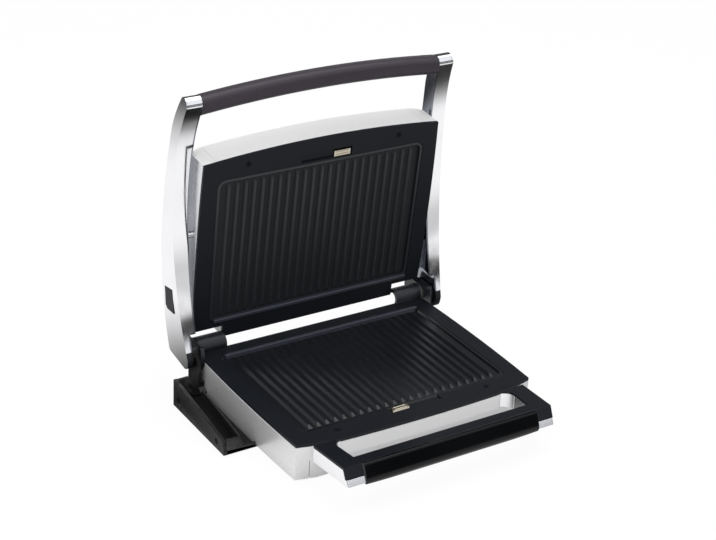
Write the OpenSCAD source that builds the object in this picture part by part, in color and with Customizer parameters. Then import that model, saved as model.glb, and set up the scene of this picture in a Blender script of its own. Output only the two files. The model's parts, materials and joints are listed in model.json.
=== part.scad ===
// Electric contact grill with a hinged lid that closes onto the lower plate and also opens flat.
// Frame in mm: X across, +Y to the back, +Z up, origin on the counter under the middle of the outline.
// Both cooking halves are drawn in one tray frame: y from the front corners back, z = 0 at the rim.

/* [Lower body] */
// Width of both halves at their corners
body_w = 345; // [290:414]
// Depth of the lower body from its front corners to its rear edge
body_d = 248; // [210:300]
// Height of the lower body from its underside to the rim
body_h = 49; // [47:58]
// Gap between the counter and the underside of the lower body
foot_h = 2; // [2:0.5:4]
// Outward bow of the long sides
side_bow = 3; // [1:0.5:3.5]
// Forward arch of the lid's front edge
front_arch = 9.5; // [5:0.5:12]
// Rounding of the corners of both halves
corner_r = 7; // [4:10]
// Thickness of the housing walls
wall = 2.4; // [2:0.1:3]
// Thickness of the two black rims
rim_t = 4; // [3:0.5:5]
// Distance from the corners in to the seams beside the end panels
seam_side = 17.5; // [14:22]

/* [Plates] */
// Margin from the corners in to the cooking plates
plate_side = 20.5; // [18:26]
// Margin from the rear edge of the body to the cooking plates
plate_rear = 18.5; // [17:24]
// Distance from the front corners to the cooking plate
plate_y = 21; // [20:26]
// Thickness of the floor of each plate
plate_t = 3.6; // [3:0.2:5]
// Height of the ribs over the floor of a plate
rib_h = 3.8; // [2:0.2:5]
// Number of ribs on each plate
rib_n = 23; // [14:26]
// Diameter of the heating element tube
element_d = 6.5; // [5:0.5:8]

/* [Lid] */
// Thickness of the lid from its rim to its back
lid_t = 45; // [42:52]
// Rounding between the ends and the back of the lid
lid_back_r = 24; // [12:28]
// Gap between the two rims when the lid is closed
close_gap = 6; // [5.5:0.5:10]
// Angle of the lid up from closed as drawn
open_a = 84.66; // [80:0.01:92]

/* [Hinge] */
// Distance from the rear edge of the body back to the hinge axis
hinge_y = 10.3; // [10:0.1:14]
// Height of the hinge axis over the rim
hinge_z = 3; // [1:0.5:5]
// Diameter of the two hinge pins
hinge_pin_d = 10; // [8:0.5:12]
// Largest radius of the round hinge hubs
hub_r = 33; // [28:34]
// Outer radius of the hoods on the lower rim
hood_r = 13; // [11:15]

/* [Arms] */
// Distance of the top grip ahead of the front corners when the lid is closed
grip_ahead = 75.7; // [66:90]
// Distance from the hinge axis to the pins that carry the lid
pivot_u = 156; // [140:170]
// Distance from the arms' middle line back to those pins
pivot_w = 24.5; // [20:0.5:30]
// Diameter of the pins that carry the lid
pivot_d = 8; // [6:0.5:9]
// Gap between the corners of the body and the inner face of the arms
arm_gap = 7.5; // [7:0.5:11]
// Distance from the corners out to the floor of the round pockets over the hinge
foot_gap = 15.5; // [13.5:0.5:17.5]
// Distance from the corners out to the widest place of the arms
arm_reach = 29.2; // [27:0.1:33]
// Height of the top grip across its section
grip_h = 24; // [20:26]
// Upward arch of the top grip
grip_arch = 9; // [5:0.5:12]
// Travel of the release button
button_travel = 2; // [1:0.5:2]

/* [Front handle] */
// Reach of the front handle from the front corners to its front edge
handle_y = 73; // [68:84]
// Thickness of the handle frame
handle_t = 22; // [19:24]
// Width of the handle frame beside the finger opening
finger_side = 25; // [21:35]
// Height of the thick grip at its middle
front_grip_h = 31; // [27:34]
// Upward tilt of the front handle
handle_tilt = 3.4; // [0:0.2:5]

/* [Stand] */
// Distance from the corners out to the outer face of the side stand
stand_reach = 48.5; // [44:62]
// Length of the trough of the stand
stand_l = 135; // [110:150]
// Distance from the hinge axis forward to the rear end of the trough
stand_ahead = 36.3; // [34:42]
// Height of the stand at its rear end
stand_h = 38; // [32:40]
// Thickness of the outer wall of the stand
stand_wall = 5; // [3:0.5:7]
// Thickness of the post that carries the left hinge pin
post_t = 8; // [6:0.5:9]

/* [Fits] */
// Radial clearance of the pins in their bores
run_fit = 0.05; // [0.02:0.01:0.1]
// Gap between neighbouring housing pieces
gap = 0.3; // [0.2:0.05:0.4]

/* [Hidden] */
$fn = 72;
big = 720;
hw = body_w / 2;
seam_x = hw - seam_side;
plate_w = body_w - 2 * plate_side;
plate_d = body_d - plate_y - plate_rear;
floor_z = -body_h - foot_h;
axis_y = body_d + hinge_y;
lean = 90 - open_a;
w_rim = close_gap - hinge_z;
arm_l = axis_y + grip_ahead;
arm_in = hw + arm_gap;
foot_in = hw + foot_gap;
arm_out = hw + arm_reach;
arm_x0 = hw - 22.5;
arm_x1 = arm_out + 28;
neck_in = hw - 0.1;
stand_x = hw + stand_reach;
stand_y1 = axis_y - stand_ahead;
stand_y0 = stand_y1 - stand_l;
stand_screw_y = [stand_y0 + 19, stand_y1 - 15];
base_screw_y = [stand_y0 + 8, stand_y1 - 7];
lid_y0 = -3.6;
lid_y1 = axis_y - 3.7;
notch_x = hw - 41.5;
notch_y = axis_y - 20.8;
hub_in = hw + side_bow * 0.5 + 0.3;
head_in = hub_in + 4.2;
head_out = foot_in - 1;
pocket_r = hub_r + 1.5;
plate_low = -0.4 - rib_h - plate_t;
flange_z = plate_low - 1;
pan_z = flange_z - 18;
coil_z = plate_low - gap - element_d / 2;
tray_z = -body_h + 3;
bulge = [4.5, 12.2, 14.8];
bulge_x = seam_x - 40;
element_x = plate_w / 2 - 32;
element_r = element_x / 3;
cam_r = hinge_pin_d / 2 + 4;
stop_u = 87;
stop_w = 11.2;
stop_d = 4.6;
finger_x = seam_x - finger_side;
grip_x = seam_x - 28.7;
grip_y = handle_y + 11;
grip_front_y = -4.5 - (grip_y - 4.5) * cos(handle_tilt) - 20 * sin(handle_tilt);
rear_y = axis_y + (w_rim + lid_t) * cos(lean) - 4.2 * sin(lean);
mid_y = (grip_front_y + rear_y) / 2;
mid_x = (stand_x - arm_out) / 2;
cap_u = arm_l - 0.3;
cap_out = arm_out - 10.3;
cap_screw_at = [cap_out - 2.6, 28];
grip_half = hw - 0.5;
button = [[79, 38.4], [84.4, 16.8], [51.4, 9.8], [49.4, 28.5], [53.5, 33.8]];

// ---- frames ----

module on_counter() translate([mid_x, -mid_y, -floor_z]) children();

// the lid half: the tray frame turned over about the closed gap and swung up by open_a
module on_lid() on_counter() translate([0, axis_y, hinge_z]) rotate([-open_a, 0, 0])
    translate([0, -axis_y, w_rim]) mirror([0, 0, 1]) children();

// the arm frame: origin on the hinge axis, y to the back of the arm, z along it
module on_arm() on_counter() translate([0, axis_y, hinge_z]) rotate([lean, 0, 0]) children();

module both_sides() {
    children();
    mirror([1, 0, 0]) children();
}

// turns a profile drawn in (y, z) into a bar along X between two stations
module along_x(x0, x1) translate([x0, 0, 0]) rotate([90, 0, 90])
    linear_extrude(x1 - x0) children();

// ---- plan outlines ----

function arc_r(chord, sag) = (chord * chord + sag * sag) / (2 * sag);

// where two circles meet, on the side given by turn
function meet(c1, r1, c2, r2, turn) =
    let(d = norm(c2 - c1), a = (r1 * r1 - r2 * r2 + d * d) / (2 * d))
    let(h = sqrt(r1 * r1 - a * a), e = (c2 - c1) / d)
    c1 + a * e + turn * h * [-e[1], e[0]];

module round_corner(c, r, t1, t2) difference() {
    polygon([c, c + (t1 - c) * 3, c + (t1 - c) * 4 + (t2 - c) * 4, c + (t2 - c) * 3]);
    translate(c + 0.006 * (t1 + t2 - 2 * c)) circle(r);
}

// a housing half in plan: bowed sides, arched front, straight rear, rounded corners, inset by i
module outline(y0, y1, arch, i = 0) {
    ym = (y0 + y1) / 2;
    rs = arc_r((y1 - y0) / 2, side_bow);
    rf = arc_r(hw, arch);
    s = [hw + side_bow - rs, ym];
    f = [0, y0 - arch + rf];
    r = corner_r;
    cf = meet(s, rs - r, f, rf - r, 1);
    cr = [s[0] + sqrt(pow(rs - r, 2) - pow(y1 - r - ym, 2)), y1 - r];
    difference() {
        intersection() {
            translate(s) circle(rs - i, $fn = big);
            translate([-s[0], s[1]]) circle(rs - i, $fn = big);
            translate(f) circle(rf - i, $fn = big);
            translate([-hw - 9, y0 - 20]) square([body_w + 18, y1 - i - y0 + 20]);
        }
        both_sides() round_corner(cf, r - i, cf + r * (cf - s) / norm(cf - s),
            cf + r * (cf - f) / norm(cf - f));
        both_sides() round_corner(cr, r - i, cr + r * (cr - s) / norm(cr - s), cr + [0, r]);
    }
}

module body_outline(i = 0) intersection() {
    outline(0, body_d, 23, i);
    translate([-hw - 20, i - bulge[0]]) square([body_w + 40, body_d + 20]);
}
module lid_outline(i = 0) difference() {
    outline(lid_y0, lid_y1, front_arch, i);
    both_sides() translate([notch_x - i, notch_y - i]) square([80, 80]);
}

// the bulging middle of the front, back to the line y1
module front_bulge(i = 0, y1 = 4, x = seam_x - gap / 2) {
    r = arc_r(bulge_x, bulge[2] - bulge[1]);
    slope = (seam_x - bulge_x) / (bulge[1] - bulge[0]);
    far = 30 - bulge[0];
    intersection() {
        translate([0, r - bulge[2]]) circle(r - i, $fn = big);
        polygon([[-x, y1], [-x, i - bulge[0]], [far * slope - x, i - 30],
            [x - far * slope, i - 30], [x, i - bulge[0]], [x, y1]]);
    }
}

module rounded(w, d, r) {
    translate([-w / 2 + r, 0]) square([w - 2 * r, d]);
    translate([-w / 2, r]) square([w, d - 2 * r]);
    for (x = [-w / 2 + r, w / 2 - r], y = [r, d - r]) translate([x, y]) circle(r);
}

module plate_outline(grow = 0) translate([0, plate_y - grow])
    rounded(plate_w + 2 * grow, plate_d + 2 * grow, 12 + grow);

rim_screw_at = [[45 - seam_x, 8], [seam_x - 45, 8]];

// a countersunk screw pointing down, its head flush at z = 0
module screw(d, l, head) difference() {
    union() {
        cylinder(h = 0.01 + 1.6, d = head);
        translate([0, 0, -l]) cylinder(h = l + 0.5, d = d);
    }
    for (a = [0, 90]) rotate([0, 0, a]) translate([-head * 0.32, -0.45, 0.6])
        cube([head * 0.64, 0.9, 2]);
}

// ---- cooking plates and heating, shared by both halves ----

module plate() {
    pitch = (plate_w - 22) / rib_n;
    top = -0.4;
    base = plate_low;
    difference() {
        translate([0, 0, base]) linear_extrude(top - base) plate_outline();
        translate([0, 0, base + plate_t]) linear_extrude(20) plate_outline(-3.4);
    }
    for (k = [0 : rib_n - 1]) translate([(k - (rib_n - 1) / 2) * pitch, 0, base + plate_t - 0.5])
        rib(pitch * 0.6);
}

// a ridge along y with sloping ends
module rib(w) {
    h = rib_h + 0.5;
    intersection() {
        translate([0, plate_y + plate_d - 5, 0]) rotate([90, 0, 0]) linear_extrude(plate_d - 10)
            polygon([[-w / 2, 0], [w / 2, 0], [0.9, h], [-0.9, h]]);
        along_x(-w, w) polygon([[plate_y + 5, 0], [plate_y + plate_d - 5, 0],
            [plate_y + plate_d - 13, h], [plate_y + 13, h]]);
    }
}

module reflector() difference() {
    union() {
        translate([0, 0, flange_z]) linear_extrude(1) plate_outline(5);
        translate([0, 0, pan_z]) linear_extrude(flange_z - pan_z + 0.5) plate_outline(-6);
    }
    translate([0, 0, pan_z + 1]) linear_extrude(40) plate_outline(-7);
    for (x = [-element_r, element_r]) translate([x, plate_y + plate_d - 12, coil_z]) rotate([-90, 0, 0])
        cylinder(h = 30, d = element_d + 2);
}

// the element: a four-legged loop with its two ends out through the rear wall of the pan
module element() {
    y0 = plate_y + 40;
    y1 = plate_y + plate_d - 55;
    yo = plate_y + plate_d + 4;
    r = element_d / 2;
    translate([0, 0, coil_z]) {
        both_sides() {
            rod([element_x, y0 + element_r, 0], y1 - y0 - element_r, r);
            rod([element_r, y1, 0], yo - y1, r);
            bend([2 * element_r, y1], element_r, 0, r);
        }
        translate([-2 * element_r, y0, 0]) rotate([0, 90, 0]) cylinder(h = 4 * element_r, r = r);
        both_sides() bend([2 * element_r, y0 + element_r], element_r, 1, r);
    }
}

module rod(p, l, r) translate(p) rotate([-90, 0, 0]) cylinder(h = l, r = r);
module bend(c, br, front, r) translate([c[0], c[1], 0]) rotate([0, 0, front ? -90 : 0])
    rotate_extrude(angle = front ? 90 : 180) translate([br, 0]) circle(r);

clip_at = [for (x = [-element_x, element_x], y = [88, plate_d - 68.5]) [x, y], [0, 40]];
module clips() for (p = clip_at) translate([p[0], plate_y + p[1], 0]) difference() {
    translate([-6, -6, pan_z + 1]) cube([12, 12, coil_z - pan_z - 1 + element_d * 0.2]);
    translate([0, 0, coil_z]) rotate([p[0] == 0 ? 0 : 90, p[0] == 0 ? 90 : 0, 0])
        cylinder(h = 30, d = element_d + 0.1, center = true);
}

module thermostat() translate([0, plate_y + plate_d - 99.5, pan_z + 1]) {
    cylinder(h = 6, d = 18);
    translate([0, 0, 6]) cylinder(h = 3, d = 12);
    for (x = [-14, 14]) translate([x - 3, -4, 0]) cube([6, 8, 1]);
    translate([-14, -4, 0]) cube([28, 8, 0.8]);
}

// a sliding clip in the rim ahead of a plate, at latch = [middle, front, recess from, recess to]
lower_latch_at = [-15, 12.3, -30, 44];
upper_latch_at = [26, 9.6, -34, 40.5];

module latch(at) translate([at[0], at[1], 0]) {
    translate([-12, 0, -rim_t + 0.7]) cube([24, 7.8, rim_t - 0.5]);
    translate([-9, 2.2, -rim_t - 3.4]) cube([18, 3, 4.4]);
    translate([-9, 0.9, -0.2]) cube([18, 1.8, 1.4]);
    translate([-9, 5, -0.2]) cube([18, 1.8, 1.4]);
}

module latch_recess(at) {
    translate([at[2], at[1] - 3, -rim_t + 0.7]) cube([at[3] - at[2], 11.6, 20]);
    translate([at[0] - 10, at[1] - 0.6, -rim_t - 9]) cube([20, 6.4, 12]);
}

// the rim openings: the cooking plate, the latch recess and the screw seats
module rim_cuts(latch_at, screw_at) {
    translate([0, 0, -30]) linear_extrude(60) plate_outline(gap * 2);
    latch_recess(latch_at);
    for (p = screw_at) translate([p[0], p[1], 0]) {
        translate([0, 0, -2.2]) cylinder(h = 5, d = 8.4);
        translate([0, 0, -20]) cylinder(h = 30, d = 4.2);
    }
}

module rim_screws_at(list) for (p = list) translate([p[0], p[1], -2.2]) screw(4, 14, 8);

// ---- lower body ----

// the two places under the left end where the stand is screwed to the tray
module at_stand() for (y = base_screw_y) translate([14 - hw, y, 0]) children();

module base_tray() color("DimGray") on_counter() difference() {
    union() {
        translate([0, 0, -body_h]) linear_extrude(3) body_outline(wall + gap);
        translate([0, 0, -body_h]) linear_extrude(body_h - rim_t) difference() {
            body_outline(wall + gap);
            body_outline(wall + gap + 2.2);
        }
        for (p = rim_screw_at) translate([p[0], p[1], -body_h]) cylinder(h = body_h - rim_t, d = 9);
        both_sides() for (y = [24, plate_d / 2, plate_d - 24])
            translate([plate_w / 2 + 3, plate_y + y, -body_h]) cylinder(h = body_h + flange_z, d = 8);
        at_stand() translate([0, 0, -body_h]) cylinder(h = 16, d = 9);
    }
    for (p = rim_screw_at) translate([p[0], p[1], -body_h + 20]) cylinder(h = 60, d = 4);
    translate([95, body_d - 20, -body_h + 24]) rotate([-90, 0, 0]) cylinder(h = 40, d = 16.4);
    at_stand() translate([0, 0, -body_h - 1]) cylinder(h = 14, d = 3.64);
    for (x = [-60 : 12 : 60], y = [60, body_d - 68]) translate([x - 2, y, -body_h - 1]) cube([4, 24, 6]);
}

module front_panel() color("Silver") on_counter() {
    low = -24;
    translate([0, 0, low]) linear_extrude(-rim_t - low) difference() {
        front_bulge(0, 2);
        front_bulge(wall, 20);
    }
    intersection() {
        translate([0, 0, -body_h]) linear_extrude(body_h + low) front_bulge(0, 2);
        union() {
            translate([-seam_x, -bulge[0] - 2, -body_h]) cube([2 * seam_x, 2, body_h + low]);
            translate([-bulge_x - 4, -bulge[1] + 1, low - 2]) cube([2 * bulge_x + 8, bulge[1] - 4, 2]);
        }
    }
}

module side_panel(s) difference() {
    translate([0, 0, -body_h]) linear_extrude(body_h - rim_t) intersection() {
        difference() {
            body_outline();
            body_outline(wall);
        }
        translate([s > 0 ? seam_x + gap / 2 : -seam_x - gap / 2 - 60, -20])
            square([60, body_d + 40]);
    }
}
module side_panel_left() color("Silver") on_counter() side_panel(-1);
module side_panel_right() color("Silver") on_counter() side_panel(1);

module lower_rim() color("#202428") on_counter() difference() {
    union() {
        translate([0, 0, -rim_t]) linear_extrude(rim_t) {
            body_outline();
            front_bulge(0, 20);
        }
    }
    rim_cuts(lower_latch_at, rim_screw_at);
}

// the rounded hood over each end of the hinge gap, open underneath, seated on the rim's rear edge
module hood() along_x(notch_x + 0.6, hw - 0.6) difference() {
    intersection() {
        translate([axis_y, hinge_z]) circle(hood_r);
        translate([body_d - 12, -rim_t]) square([hinge_y + 20, 40]);
    }
    translate([axis_y, hinge_z]) circle(hood_r - 4.5);
    translate([axis_y, -40]) square([40, 40 + hinge_z]);
    translate([body_d - 20, -40]) square([20 + gap, 40]);
}
module hinge_hoods() color("#202428") on_counter() both_sides() hood();

module lower_plate() color("#25292e") on_counter() plate();
module lower_reflector() color("Silver") on_counter() reflector();
module lower_element() color("DarkSlateGray") on_counter() element();
module lower_clips() color("Gainsboro") on_counter() clips();
module lower_thermostat() color("Gray") on_counter() thermostat();
module lower_latch() color("#c9bda4") on_counter() latch(lower_latch_at);
module rim_screws() color("#1c1e22") on_counter() rim_screws_at(rim_screw_at);

module terminal_block() color("Ivory") on_counter() translate([95, body_d - 42, -body_h + 3])
    difference() {
        translate([-20, -6, 0]) cube([40, 12, 12]);
        for (x = [-13, 0, 13]) translate([x, 0, 4]) cylinder(h = 10, d = 5);
    }

module cord_gland() color("#1c1e22") on_counter()
    translate([95, body_d - wall - gap - 4, -body_h + 24]) rotate([-90, 0, 0]) difference() {
        union() {
            translate([0, 0, -4]) cylinder(h = 5.6, d = 20);
            cylinder(h = 12, d = 16);
            translate([0, 0, 4.2]) cylinder(h = 10, d = 20);
        }
        translate([0, 0, -5]) cylinder(h = 40, d = 7);
    }

// ---- front handle ----

module on_handle() on_counter() translate([0, -bulge[0], 0]) rotate([-handle_tilt, 0, 0])
    translate([0, bulge[0], 0]) children();

module finger_opening(grow = 0) {
    x = finger_x + grow;
    y = -handle_y + 16.7 - grow;
    polygon([[-x, -26], [x, -26], [x - 2.4, y], [2.4 - x, y]]);
    translate([-x + 14, -26]) square([2 * x - 28, 30]);
    translate([-x, -26.2]) square([2 * x, 0.4]);
    both_sides() translate([x - 14, -26]) circle(14);
}

module handle_plan() difference() {
    x = seam_x - 4.6;
    polygon([[-seam_x, 0], [-x, -handle_y - 20], [x, -handle_y - 20], [seam_x, 0]]);
    finger_opening();
    offset_bulge();
}

// what the front panel and rim fill behind the handle, with a small gap
module offset_bulge() {
    front_bulge(-gap, 20, hw + 30);
    translate([-hw - 30, -bulge[0]]) square([body_w + 60, 40]);
}

// everything ahead of the leaning front face of the handle
module lean_cut(d = 0) translate([0, -handle_y - d, 0]) rotate([-23.3, 0, 0])
    translate([-hw - 30, -80, -90]) cube([body_w + 60, 80, 180]);

// the place of the grip in the plan of the handle
module grip_gap_plan() translate([-grip_x - gap, -handle_y - 30]) square([2 * (grip_x + gap), 46.9]);

module handle_frame() color("Silver") on_handle() difference() {
    union() {
        translate([0, 0, -handle_t]) linear_extrude(handle_t - 3.2) difference() {
            handle_plan();
            grip_gap_plan();
        }
        translate([-grip_x - 13.7, -handle_y + 3, -17]) cube([2 * grip_x + 27.4, 11, 11]);
    }
    lean_cut();
    difference() {
        intersection() {
            translate([-seam_x - 5, -handle_y - 30, -14.2]) cube([2 * seam_x + 10, 60, 20]);
            lean_cut(-3.2);
        }
        translate([-grip_x - gap, -handle_y - 30, -40]) cube([2 * (grip_x + gap), 60, 60]);
    }
}

module handle_covers() color("#1c1e22") on_handle() difference() {
    union() {
        translate([0, 0, -14]) linear_extrude(14) difference() {
            handle_plan();
            grip_gap_plan();
        }
        translate([-grip_x - 0.7, -handle_y + 1, gap - 6]) cube([2 * grip_x + 1.4, 15.7, 6 - gap]);
    }
    lean_cut();
    difference() {
        translate([-hw - 30, -200, -40]) cube([body_w + 60, 220, 37]);
        lean_cut(-3);
    }
}

// the grip faces the front, wraps under the bar of the frame and is flush with the black top
module front_grip() color("#121418") on_handle() difference() {
    h = front_grip_h - 1.5;
    y1 = -handle_y + 16.6;
    c1 = [-handle_y - 2.2, -2.7];
    c2 = [-grip_y + 10.5, 10.5 - h];
    n = [cos(160.7), sin(160.7)];
    intersection() {
        along_x(-grip_x, grip_x) {
            translate(c1) circle(3.5);
            translate(c2) circle(10.5);
            polygon([c1 + 3.45 * n, c2 + 10.45 * n, c2, [y1, c2[1]], [y1, 0.8], [c1[0], 0.8], c1]);
            translate([c2[0], -h]) square([y1 - 4 - c2[0], h - 14]);
            translate([y1 - 4, 4 - h]) circle(4);
            translate([y1 - 4, 4 - h]) square([4, h - 8]);
        }
        grip_belly();
    }
    translate([-grip_x - 14.7, -handle_y + 0.7, -17.3]) cube([2 * grip_x + 29.4, 40, 30]);
}

// the belly of the grip hangs lower at its middle than at its seams
module grip_belly() {
    r = arc_r(grip_x, 4.5);
    translate([0, 60, r - front_grip_h + 1.5]) rotate([90, 0, 0]) cylinder(h = 260, r = r, $fn = big);
}

// ---- stand and hinge ----

// a wall of the stand along X, drawn as (distance from the middle, height)
module stand_wall_at(y0, y1) translate([0, y1, 0]) rotate([90, 0, 0]) linear_extrude(y1 - y0)
    children();

// the screws of the outer wall follow its rising top edge
function stand_screw_z(y) = floor_z + 12 + (y - stand_screw_y[0]) * 0.03;

// the stand: an open trough beside the left end of the body, and a post to the hinge pin
module stand() {
    low = floor_z + 1;
    bed = floor_z + 7;
    top = floor_z + stand_h;
    front = top - 0.138 * (stand_y1 - stand_y0);
    side = hw + side_bow + 2;
    difference() {
        union() {
            along_x(stand_x - stand_wall, stand_x) polygon([[stand_y0, low], [stand_y0 + 2, front - 4],
                [stand_y0 + 6, front], [stand_y1, top], [stand_y1, low]]);
            stand_wall_at(stand_y0, stand_y1) polygon([[stand_x - 1, low], [stand_x - 1, bed],
                [side, bed - 2], [side, -body_h], [hw - 22, -body_h], [hw - 22, low]]);
            stand_wall_at(stand_y1 - 3, stand_y1) polygon([[stand_x - 1, low], [stand_x - 1, top - 0.5],
                [stand_x - 20, top], [stand_x - 20, top - 15], [stand_x - 29, bed + 3], [side, bed],
                [side, low]]);
            stand_wall_at(stand_y0 + 1, stand_y0 + 4) polygon([[stand_x - 1, low], [stand_x - 1, front - 5],
                [stand_x - 9, front - 6], [stand_x - 15, bed + 2], [stand_x - 24, low]]);
            along_x(hub_in + 0.4, hub_in + 0.4 + post_t)
                polygon([[stand_y1 - 2, low], [stand_y1 - 2, bed + 2], [stand_y1 + 5, bed + 6],
                    [stand_y1 + 5, hinge_z - pocket_r + 1], [stand_y1 + 33, hinge_z - pocket_r + 1],
                    [stand_y1 + 33, low]]);
            stand_wall_at(stand_y1 - 1, stand_y1 + 33)
                polygon([[hub_in + 1, low], [hub_in + 1, bed], [stand_x - 24, bed], [stand_x - 22, low]]);
            along_x(head_in, head_out - 4) polygon([[stand_y1 + 5, hinge_z - pocket_r - 4],
                [stand_y1 + 5, hinge_z - 14], [axis_y - 22, hinge_z + 6], [axis_y, hinge_z + 6],
                [stand_y1 + 33, hinge_z - 14], [stand_y1 + 33, hinge_z - pocket_r - 4]]);
            along_x(head_in, head_out) intersection() {
                translate([axis_y, hinge_z]) circle(24);
                translate([axis_y - 30, hinge_z - 30]) square([60, 30 + hood_r]);
            }
        }
        along_x(0, 400) translate([axis_y, hinge_z]) circle(d = hinge_pin_d + 0.04);
        for (y = stand_screw_y) translate([stand_x + 1, y, stand_screw_z(y)])
            rotate([0, -90, 0]) cylinder(h = 3.2, d = 8);
        for (y = base_screw_y) translate([hw - 14, y, floor_z - 1]) cylinder(h = 20, d = 4.3);
        for (y = [stand_y0 + 14, stand_y1 - 14]) translate([stand_x - 14, y, floor_z])
            cylinder(h = 2, d = 14.4);
    }
}
module side_stand() color("#2a2c2f") on_counter() mirror([1, 0, 0]) stand();

module on_axis() on_counter() both_sides() translate([0, axis_y, hinge_z]) rotate([0, 90, 0])
    children();

// a round black hub beside each rear corner, flat where it meets the top of the hood
module hinge_hubs() color("#1c1e22") on_axis() difference() {
    rotate_extrude() polygon([[0, hub_in], [hub_r, hub_in], [hub_r - 3.5, hub_in + 3.9], [0, hub_in + 3.9]]);
    cylinder(h = 400, d = hinge_pin_d + 0.04);
    translate([-100 - hood_r, -100, 0]) cube([100, 200, 400]);
}

module hinge_pins() color("Silver") on_axis() translate([0, 0, hub_in])
    cylinder(h = foot_in + 5 - hub_in, d = hinge_pin_d);

// the collar that fills the right pocket as the stand's post fills the left one
module hinge_spacer() color("#1c1e22") on_counter() translate([0, axis_y, hinge_z])
    rotate([0, 90, 0]) difference() {
        translate([0, 0, head_in]) cylinder(h = head_out - head_in, r = 20);
        cylinder(h = 400, d = hinge_pin_d + 0.04);
        translate([-100 - hood_r, -100, 0]) cube([100, 200, 400]);
    }

module hinge_washers() color("Silver") on_axis() translate([0, 0, head_out + 0.05]) difference() {
    cylinder(h = 0.9, d = hinge_pin_d + 12);
    translate([0, 0, -1]) cylinder(h = 3, d = hinge_pin_d + 2 * run_fit);
}

module feet() color("Black") on_counter() {
    for (y = [stand_y0 + 14, stand_y1 - 14]) translate([14 - stand_x, y, floor_z])
        cylinder(h = 2, d = 14);
    for (p = [[40 - hw, 30], [hw - 40, 30], [hw - 40, body_d - 30]]) translate([p[0], p[1], floor_z])
        cylinder(h = foot_h, d = 14);
}

module base_screws() color("Silver") on_counter() at_stand() translate([0, 0, floor_z + 0.2]) {
    cylinder(h = 0.8, d = 7.4);
    cylinder(h = 12, d = 3.6);
}

module stand_screws() color("#101114") on_counter() for (y = stand_screw_y)
    translate([1.6 - stand_x, y, stand_screw_z(y)]) rotate([0, -90, 0]) difference() {
        translate([0, 0, -0.6]) cylinder(h = 1.6, d = 7.4);
        translate([-2.2, -0.5, 0.2]) cube([4.4, 1, 3]);
    }

// ---- arms ----

// the arm from the side: x is the depth, y the length from the axis
module arm_side(i = 0) {
    front = [27.6, arm_l - 72];
    back = [50.5, 160];
    u3 = arm_l - 34;
    r1 = 270;
    r2 = arc_r(front[1], 54.45);
    r3 = 598;
    r4 = arc_r(u3 - back[1], 4.7);
    a3 = asin((u3 - back[1]) / r4);
    r5 = 150;
    a5 = a3 + 4;
    c5 = [back[0] - r4, back[1]] + r4 * [cos(a3), sin(a3)] - r5 * [cos(a5), sin(a5)];
    intersection() {
        difference() {
            union() {
                intersection() {
                    translate([back[0] - r3, back[1]]) circle(r3 - i, $fn = big);
                    translate([-40, -30]) square([120, back[1] + 30]);
                }
                intersection() {
                    translate([back[0] - r4, back[1]]) circle(r4 - i, $fn = big);
                    translate([-40, back[1]]) square([120, u3 - 6 - back[1]]);
                }
                intersection() {
                    translate([back[0] - r4, back[1]]) circle(r4 - i, $fn = big);
                    translate(c5) circle(r5 - i, $fn = big);
                    translate([-40, u3 - 10]) square([120, 60]);
                }
            }
            intersection() {
                translate([front[0] - r2, front[1]]) circle(r2 + i, $fn = big);
                translate([-200, -60]) square([400, front[1] + 60]);
            }
            intersection() {
                translate([front[0] - r1, front[1]]) circle(r1 + i, $fn = big);
                translate([-200, front[1]]) square([400, 200]);
            }
        }
        arm_ends(i);
    }
}

// the round upper end and the slanted foot with its two rounded corners
module arm_ends(i) {
    tip = [27.45, arm_l + 3];
    toe = [-16, -5.5];
    heel = [19.6, -5.5];
    translate(tip) circle(10.6 - i);
    translate([toe[0] - 10.4 + i, toe[1]]) square([120, tip[1] - toe[1]]);
    translate(toe) circle(10.4 - i);
    translate(heel) circle(7.7 - i);
    polygon([toe, [toe[0], toe[1] - 10.35 + i], [heel[0], heel[1] - 7.65 + i], heel]);
}

// the arm from the front: between its inner and outer faces, insets from each
module arm_front(io = 0, ii = 0, u0 = -40, u1 = arm_l + 66) difference() {
    low = 2680;
    high = arc_r(arm_l + 3 - 175, 7.78);
    inner = arc_r(arm_l + 3 - 150, 8.57);
    union() {
        intersection() {
            translate([arm_out - low, 175]) circle(low - io, $fn = big);
            translate([arm_x0, u0]) square([arm_x1 - arm_x0, 175 - u0]);
        }
        intersection() {
            translate([arm_out - high, 175]) circle(high - io, $fn = big);
            translate([arm_x0, 175]) square([arm_x1 - arm_x0, u1 - 175]);
        }
    }
    translate([0, -60]) square([arm_in + ii, 210]);
    translate([0, -60]) square([neck_in + ii, arm_l + 166]);
    intersection() {
        translate([arm_in - inner, 150]) circle(inner + ii, $fn = big);
        translate([0, 149]) square([arm_x1, arm_l + 66]);
    }
}

module arm_block(io, ii, i, u1 = arm_l + 66) intersection() {
    translate([0, 120, 0]) rotate([90, 0, 0]) linear_extrude(240) arm_front(io, ii, -40, u1);
    along_x(arm_x0, arm_x1) arm_side(i);
}

// a drum about the hinge axis, out to the distance x from the middle
module pocket(x, r) along_x(arm_x0, x) circle(r);

// the outer channel of an arm, open on its inner side, its round tip standing beside the cap
module arm_channel() difference() {
    union() {
        difference() {
            arm_block(0, 2, 0);
            arm_block(2.4, -20, 2.6, cap_u - 3.3);
        }
        intersection() {
            arm_block(0.5, 2, 0.5, cap_u - 1);
            union() {
                along_x(arm_x0, arm_x1) translate([pivot_w, pivot_u]) circle(d = pivot_d + 9);
                children();
            }
        }
    }
    pocket(foot_in + 2, pocket_r + 2.1);
    translate([arm_x0, -60, cap_u - gap]) cube([cap_out + 0.2 - arm_x0, 160, 60]);
    arm_bores();
}

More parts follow.
